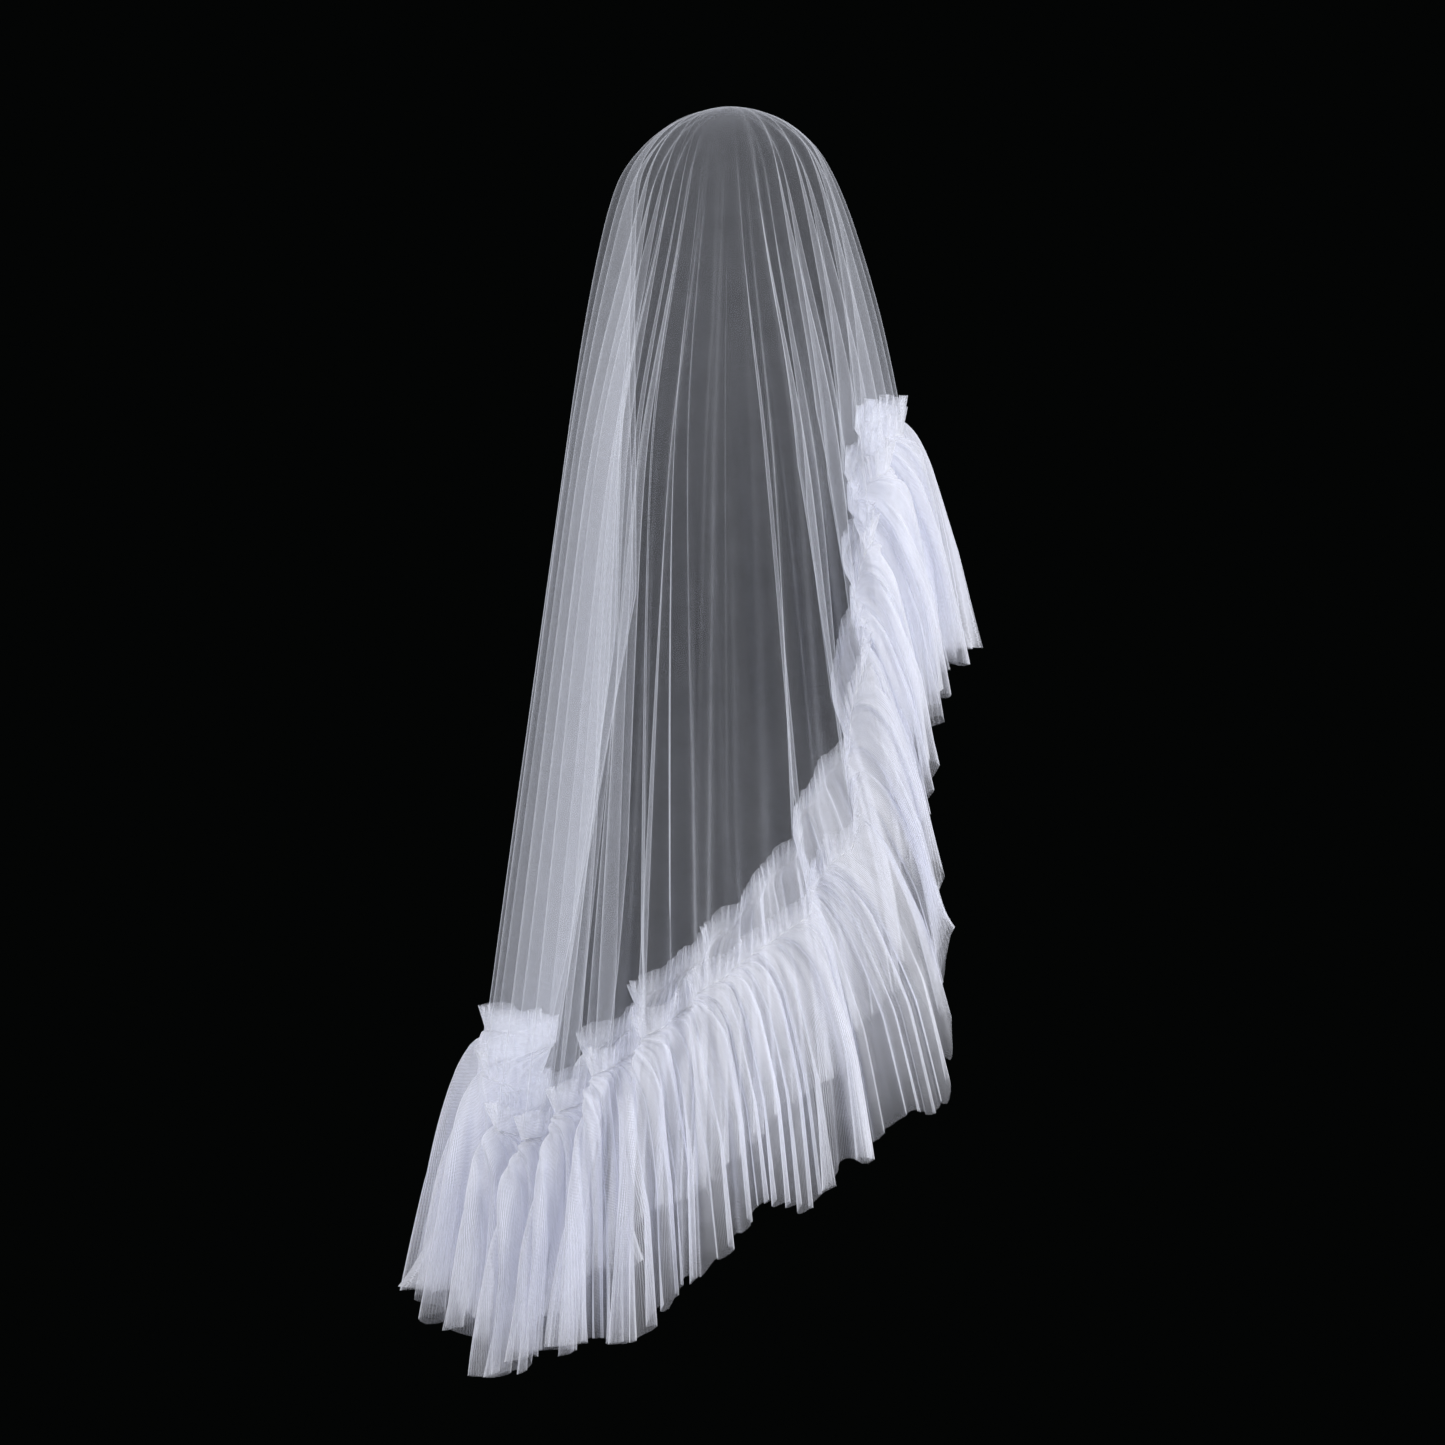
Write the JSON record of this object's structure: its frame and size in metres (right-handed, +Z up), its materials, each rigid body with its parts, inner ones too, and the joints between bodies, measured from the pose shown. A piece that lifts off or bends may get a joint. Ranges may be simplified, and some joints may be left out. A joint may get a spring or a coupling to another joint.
{
  "type": "bridal veil",
  "caption": "Soft white tulle drop veil, an oval laid over the crown with a wide gathered flounce round the whole edge, short in front and long behind.",
  "frame": {"origin": "inner face of the cloth at the crown, where the wearer's head holds it", "axes": "+Z up, -Y to the front of the wearer, -X to the wearer's right, the side that the picture shows"},
  "size_m": [0.6985, 0.5738, 1.1813],
  "materials": {
    "tulle_body": "soft sheer net, matte with a faint sheen on folds",
    "tulle_flounce": "soft sheer net, gathered and raw cut"
  },
  "bodies": {
    "root": {"veil_body": "tulle_body", "flounce": "tulle_flounce"}
  },
  "joints": []
}
